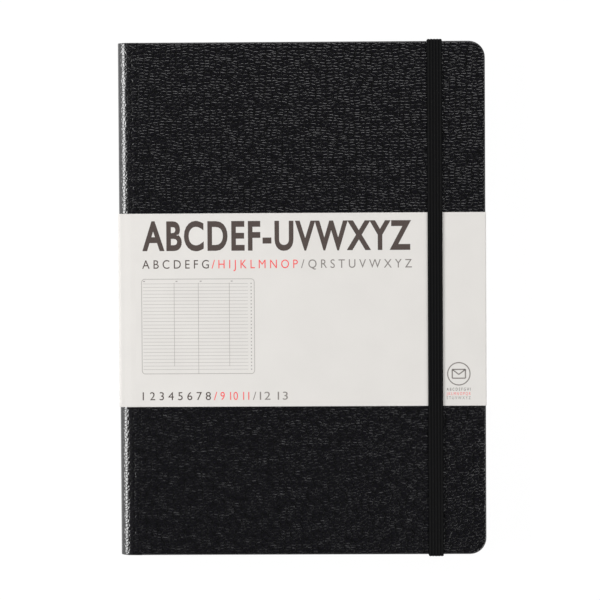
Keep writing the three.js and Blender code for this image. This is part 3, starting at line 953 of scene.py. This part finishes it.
def gusset(name, side):
    """A strip of cloth folded inwards once, whose section in Y and Z is two runs and a half circle."""
    node = f"pocket_gusset_{name}"
    west, east = span(node, X)
    low, high = span(node, Z)
    cloth = sizes().gusset
    inner, outer = sorted(abs(y) for y in span(node, Y))
    inner += cloth
    low, high = low + cloth / 2, high - cloth / 2
    fold = (high - low) / 2 - 1e-6
    line = rounded_line([
        (side * outer, high, 0), (side * inner, high, fold),
        (side * inner, low, fold), (side * outer, low, 0)])
    points, uv = carried(offset(line, -cloth / 2), cloth, west, east)
    points = points[:, :, [1, 0, 2]]
    made = surface_piece(f"gusset_cloth_{name}", points, uv, "black_cloth")
    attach(made, "root")
    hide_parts(node)


class BOOK_OT_pocket(bpy.types.Operator):
    """Add the pocket inside the back cover"""

    bl_idname = "book.pocket"
    bl_label = "Back pocket"

    def execute(self, context):
        repaint("pocket_panel", "flat_endpaper")
        gusset("head", 1)
        gusset("tail", -1)
        return {"FINISHED"}


def band_piece(name, line, thickness):
    section = carried(subdivided(line, 4 * MM), thickness, BAND_LOW_Y, BAND_HIGH_Y, round_steps=1)
    return surface_piece(name, *section, "band_paper")


class BOOK_OT_band(bpy.types.Operator):
    """Fold the paper band round the covers, in two halves that meet at the hinge line"""

    bl_idname = "book.band"
    bl_label = "Paper band"

    def execute(self, context):
        s = sizes()
        low, high = span("paper_band_front", Z)
        flap_x = BAND_EAST - s.band_flap
        bend_west, bend_east = HINGE_X - s.band_bend, HINGE_X + s.band_bend
        front = band_piece("band_front_panel", rounded_line([
            (bend_east, high, 0), (BAND_EAST, high, s.band_fold), (BAND_EAST, low, s.band_fold),
            (flap_x, low, 0)])[::-1], s.paper)
        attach(front, "front_cover")
        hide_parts("paper_band_front")

        fold_high = high - s.band_lean
        lean_x = BAND_WEST + s.band_round + 1 * MM
        lean = s.band_lean * s.band_bend / (HINGE_X - lean_x)
        base = span("paper_band_spine_and_back", Z)[0]
        back_flap = BACK_TURN_IN + 1.4 * MM  # Between the pocket and the flyleaf.
        back = band_piece("band_spine_and_back", rounded_line([
            (bend_west, high - lean, 0), (lean_x, fold_high, 1 * MM),
            (BAND_WEST, fold_high, s.band_round), (BAND_WEST, base, s.band_round - s.band_lean),
            (BAND_EAST, base, s.band_fold), (BAND_EAST, back_flap, s.band_fold),
            (flap_x, back_flap, 0)]), s.paper)
        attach(back, "root")
        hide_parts("paper_band_spine_and_back")

        near_line = np.array([(HINGE_X, high), (bend_west, high - lean)])
        near = band_piece("band_fold_spine_side", subdivided(near_line, BEND_STEP), s.paper)
        bend(near)
        far_line = np.array([(bend_east, high), (HINGE_X, high)])
        far = band_piece("band_fold_cover_side", subdivided(far_line, BEND_STEP), s.paper)
        bend(far)
        return {"FINISHED"}


# The print's lines of plain letters and numbers, in millimetres: south, north, then runs of text with
# a finish, west and east.
TITLE = (19.9, 32.2, [("ABCDEF-UVWXYZ", "print_dark", -65.3, 44.6)])
TITLE_WEIGHT = 0.029
TITLE_SPACING = 1.13
SECOND_LINE = (12.7, 16.2, [
    ("A B C D E F G", "print_dark", -65.4, -38.1), ("/", "print_red", -37.0, -35.6),
    ("H I J K L M N O P", "print_red", -34.2, -1.7), ("/", "print_grey", -0.4, 1.0),
    ("Q R S T U V W X Y Z", "print_grey", 2.6, 44.9)])
THIRD_LINE = (-41.2, -37.9, [
    ("1 2 3 4 5 6 7 8", "print_dark", -65.6, -37.6), ("/", "print_red", -36.4, -35.0),
    ("9 10 11", "print_red", -33.7, -21.9), ("/", "print_grey", -20.4, -19.0),
    ("12 13", "print_grey", -17.6, -6.1)])
SMALL_LINES = (
    (-37.8, -36.6, [("A B C D E F G H I", "print_dark", 58.9, 68.7)]),
    (-39.6, -38.4, [("J K L M N O P Q R", "print_red", 58.9, 68.7)]),
    (-41.3, -40.1, [("S T U V W X Y Z", "print_grey", 58.9, 68.7)]))

# The small picture, in millimetres: its frame, its rules as their count, first and last height, its
# dividers as their place and lower end, and the width of each kind of stroke.
DIAGRAM_X = (-65.7, -19.6)
DIAGRAM_Y = (-30.4, 8.4)
DIAGRAM_CORNER = 1.3
DIAGRAM_RULES = (26, 6.5, -28.6)
DIAGRAM_DIVIDERS = ((-52.4, -27.3), (-42.5, -30.4), (-29.8, -27.3))
FRAME_STROKE = 0.22
RULE_STROKE = 0.12
DIVIDER_STROKE = 0.16
MARK_STROKE = 0.5
HEADER_STROKE = 0.4

# The badge, in millimetres: its ring, half of its envelope's width and height, and the strokes.
BADGE_CENTRE = (63.9, -30.9)
BADGE_RADIUS = 4.8
RING_STROKE = 0.45
ENVELOPE_HALF = (2.7, 1.8)
ENVELOPE_STROKE = 0.5


def band_diagram(low, high):
    """The small picture of a ruled page: a rounded frame, its rules and dividers, a mark at the end
    of each rule and a short header over each column."""
    (west, east), (south, north) = DIAGRAM_X, DIAGRAM_Y
    corner = DIAGRAM_CORNER
    outline = rounded_line([
        (west, 0, 0), (west, north, corner), (east, north, corner), (east, south, corner),
        (west, south, corner), (west, 0, 0)])
    count, first, last = DIAGRAM_RULES
    heights = np.linspace(first, last, count)
    rule, rule_end, mark, mark_end = (
        np.column_stack([np.full(count, x), heights])
        for x in (west + 0.5, east - 2.6, east - 1.5, east - 1.05))
    feet = np.array(DIAGRAM_DIVIDERS)
    tops = np.array([(x, north) for x in (west, *feet[:, 0])])
    strokes = [
        (outline[:-1], outline[1:], FRAME_STROKE),
        (rule, rule_end, RULE_STROKE),
        (tops[1:] - (0, 1.5), feet, DIVIDER_STROKE),
        (mark, mark_end, MARK_STROKE),
        (tops + (0.6, -0.9), tops + (1.4, -0.9), HEADER_STROKE),
    ]
    return [bars(starts * MM, ends * MM, width * MM, low, high) for starts, ends, width in strokes]


def badge(low, high):
    """A round badge in the grey of the print, with a plain envelope left open in it."""
    centre = np.array(BADGE_CENTRE) * MM
    outer, inner = BADGE_RADIUS * MM, (BADGE_RADIUS - RING_STROKE) * MM
    section = np.array([(outer, high), (outer, low), (inner, low), (inner, high), (outer, high)])
    points, _ = turned(section, centre, 64)
    half = np.array(ENVELOPE_HALF) * MM
    corners = np.array([(-1, -1), (1, -1), (1, 1), (-1, 1)]) * half + centre
    flap = np.array([(-1, 1), (0, -0.15), (1, 1)]) * half + centre
    stroke = ENVELOPE_STROKE * MM
    return [
        (points.reshape(-1, 3), grid_faces(*points.shape[:2])),
        bars(corners, np.roll(corners, -1, axis=0), stroke, low, high),
        bars(flap[:-1], flap[1:], stroke, low, high),
    ]


class BOOK_OT_print(bpy.types.Operator):
    """Print the band with plain letters, numbers, a ruled page and a badge"""

    bl_idname = "book.print"
    bl_label = "Band print"

    def execute(self, context):
        low = BAND_FRONT_FACE + 0.003 * MM
        high = low + sizes().ink
        groups = {name: [] for name in PRINTS}
        for line in (TITLE, SECOND_LINE, THIRD_LINE, *SMALL_LINES):
            south, north, runs = line
            weight, spacing = (TITLE_WEIGHT, TITLE_SPACING) if line is TITLE else (0.0, 1.0)
            for text, finish, west, east in runs:
                box = [MM * side for side in (west, east, south, north)]
                groups[finish].append(flat_letters(text, *box, low, high, weight, spacing))
        groups["print_pale"] += band_diagram(low, high)
        groups["print_grey"] += badge(low, high)
        for finish, solids in groups.items():
            join_solids(f"band_{finish}", solids, finish, "front_cover")
        return {"FINISHED"}


def strap_section():
    """Places across the elastic from -1 to 1, and half its thickness there: flat with rounded sides,
    and thinner between its ribs."""
    s = sizes()
    across = np.sin(np.linspace(-math.pi / 2, math.pi / 2, 81))
    rib = 0.5 - 0.5 * np.cos(math.pi * (across + 1) * s.strap_ribs)
    return across, s.strap / 2 * np.sqrt(1 - np.abs(across) ** 10) * (1 - s.rib_depth * (1 - rib))


class BOOK_OT_elastic(bpy.types.Operator):
    """Stretch the ribbed elastic round the covers"""

    bl_idname = "book.elastic"
    bl_label = "Elastic"

    def execute(self, context):
        s = sizes()
        (west, east), (_, reach), (_, top) = (span("elastic_closure", axis) for axis in (X, Y, Z))
        half, turn = s.strap / 2, s.strap_turn
        leg_y, strand_z = reach - half, top - half
        slot_y = HEAD_Y - s.strap_slot
        inside_z = BACK_TURN_IN - s.skin - 0.05 * MM - half
        head = [
            (slot_y - s.strap_end, inside_z, 0), (slot_y, inside_z, turn), (slot_y, half, turn),
            (leg_y, half, turn), (leg_y, strand_z, turn)]
        tail = [(-y, z, radius) for y, z, radius in reversed(head)]
        line = subdivided(rounded_line(head + tail), 1.2 * MM)
        across, height = strap_section()
        normal = offset(line, 1) - line
        outer, inner = (line[:, None] + side * normal[:, None] * height[:, None] for side in (-1, 1))
        x = (west + east) / 2 + (east - west) / 2 * across
        x = np.broadcast_to(x, outer.shape[:2])[..., None]
        points = sheet_between(np.concatenate([x, outer], axis=2), np.concatenate([x, inner], axis=2))
        along = np.concatenate([[0], lengths(line), lengths(line)[-1:]])
        uv = np.stack([points[:, :, 0], np.broadcast_to(along[:, None], points.shape[:2])], axis=-1)
        strap = surface_piece("elastic_strap", points, uv, "elastic", sharp=60)
        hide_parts("elastic_closure")
        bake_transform(strap)
        return {"FINISHED"}


# The camera's place and turn, fitted to the four corners of the cover in the photograph.
CAMERA_PLACE = (0.0238, 0.0489, 1.3)
CAMERA_TURN = (-2.207, 1.091, -0.323)
CAMERA_LENS = 188.3
SENSOR = 36.0

# Softboxes as place, width, length and power.
SOFTBOXES = {
    "softbox_left": ((-1.15, 0.1, 0.78), 0.9, 0.6, 18.0),
    "softbox_right": ((1.1, -0.6, 0.95), 0.9, 0.9, 12.0),
    "softbox_head": ((0.15, 1.5, 1.25), 1.3, 0.7, 18.0),
}
SKY_STRENGTH = 0.06

# The floor's paint, the strength of its plain white and that white's share, and the floor's shape in
# metres: the radius of its flat part, that of the bend at its edge, and the height of the wall.
FLOOR_PAINT = (0.86, 0.86, 0.86, 1)
FLOOR_GLOW = 1.03
FLOOR_SHARE = 0.93
FLOOR_RADIUS = 3
FLOOR_BEND = 2
WALL_HEIGHT = 4


def white_floor(start):
    """A white floor that keeps the object's shadow: what the camera sees, also in a reflection or
    through glass, is mostly plain white, and all other light meets matt white paint."""
    tree = start.tree
    start.surface(FLOOR_PAINT, 0.9)
    path = tree.nodes.new("ShaderNodeLightPath")
    seen = Signal(tree, path.outputs["Is Camera Ray"])
    for name in ("Is Glossy Ray", "Is Transmission Ray"):
        seen = start.math("MAXIMUM", seen, Signal(tree, path.outputs[name]))
    glow = start.node("ShaderNodeEmission", None, {"Color": (1, 1, 1, 1), "Strength": FLOOR_GLOW})
    matt = Signal(tree, tree.nodes["Principled BSDF"].outputs[0])
    mixed = start.node("ShaderNodeMixShader", None, {0: seen * FLOOR_SHARE, 1: matt, 2: glow})
    tree.links.new(mixed.socket, tree.nodes["Material Output"].inputs["Surface"])


class BOOK_OT_stage(bpy.types.Operator):
    """Set up the floor, the soft lights and the camera"""

    bl_idname = "book.stage"
    bl_label = "Stage"

    def execute(self, context):
        angle = np.linspace(0, math.pi / 2, 13)
        edge = FLOOR_RADIUS + FLOOR_BEND * np.sin(angle), FLOOR_BEND * (1 - np.cos(angle))
        wall_top = FLOOR_RADIUS + FLOOR_BEND, WALL_HEIGHT
        profile = np.concatenate([[(0, 0), (1, 0)], np.column_stack(edge), [wall_top]])
        profile[:, 1] -= 0.05 * MM  # Just below the book.
        points, _ = turned(profile, (0, 0), 64)
        mesh = bpy.data.meshes.new("studio_floor")
        mesh.from_pydata(points.reshape(-1, 3), [], grid_faces(*points.shape[:2]))
        tidy_mesh(mesh, 1e-6, 180)
        if mesh.polygons[0].normal.z < 0:
            mesh.flip_normals()
        mesh.materials.append(new_material("studio_white", white_floor))
        floor = add_object("studio_floor", mesh)
        for name, (place, width, length, power) in SOFTBOXES.items():
            light = bpy.data.lights.new(name, "AREA")
            light.shape = "RECTANGLE"
            light.size = width
            light.size_y = length
            light.energy = power
            lamp = add_object(name, light)
            lamp.location = place
            lamp.rotation_euler = (-Vector(place)).to_track_quat("-Z", "Y").to_euler()
        world = bpy.data.worlds.new("soft_sky")
        world.use_nodes = True
        sky = world.node_tree.nodes["Background"].inputs
        sky["Color"].default_value = (1, 1, 1, 1)
        sky["Strength"].default_value = SKY_STRENGTH
        context.scene.world = world
        lens = bpy.data.cameras.new("camera")
        lens.lens = CAMERA_LENS
        lens.sensor_width = SENSOR
        lens.clip_end = 50
        camera = add_object("camera", lens)
        camera.location = CAMERA_PLACE
        camera.rotation_euler = Euler([math.radians(turn) for turn in CAMERA_TURN], "XYZ")
        context.scene.camera = camera
        context.scene.view_settings.view_transform = "Standard"
        return {"FINISHED"}


OPERATORS = (
    BOOK_OT_covers, BOOK_OT_groove, BOOK_OT_endpapers, BOOK_OT_register, BOOK_OT_binding, BOOK_OT_pocket,
    BOOK_OT_band, BOOK_OT_print, BOOK_OT_elastic, BOOK_OT_stage)


class BOOK_PT_panel(bpy.types.Panel):
    """Sizes, colours and pieces of the address book"""

    bl_idname = "BOOK_PT_panel"
    bl_label = "Address Book"
    bl_space_type = "VIEW_3D"
    bl_region_type = "UI"
    bl_category = "Address Book"

    def draw(self, context):
        for title, group in (("Sizes", context.scene.book_sizes), ("Colours", context.scene.book_colours)):
            box = self.layout.box()
            box.label(text=title)
            for name in group.__annotations__:
                box.prop(group, name)
        for operator in OPERATORS:
            self.layout.operator(operator.bl_idname)


CLASSES = (BookSizes, BookColours, *OPERATORS, BOOK_PT_panel)


def register():
    for cls in CLASSES:
        bpy.utils.register_class(cls)
    bpy.types.Scene.book_sizes = bpy.props.PointerProperty(type=BookSizes)
    bpy.types.Scene.book_colours = bpy.props.PointerProperty(type=BookColours)


def unregister():
    del bpy.types.Scene.book_colours
    del bpy.types.Scene.book_sizes
    for cls in reversed(CLASSES):
        bpy.utils.unregister_class(cls)


def main():
    register()
    for operator in OPERATORS:
        group, name = operator.bl_idname.split(".")
        getattr(getattr(bpy.ops, group), name)()


if __name__ == "__main__":
    main()
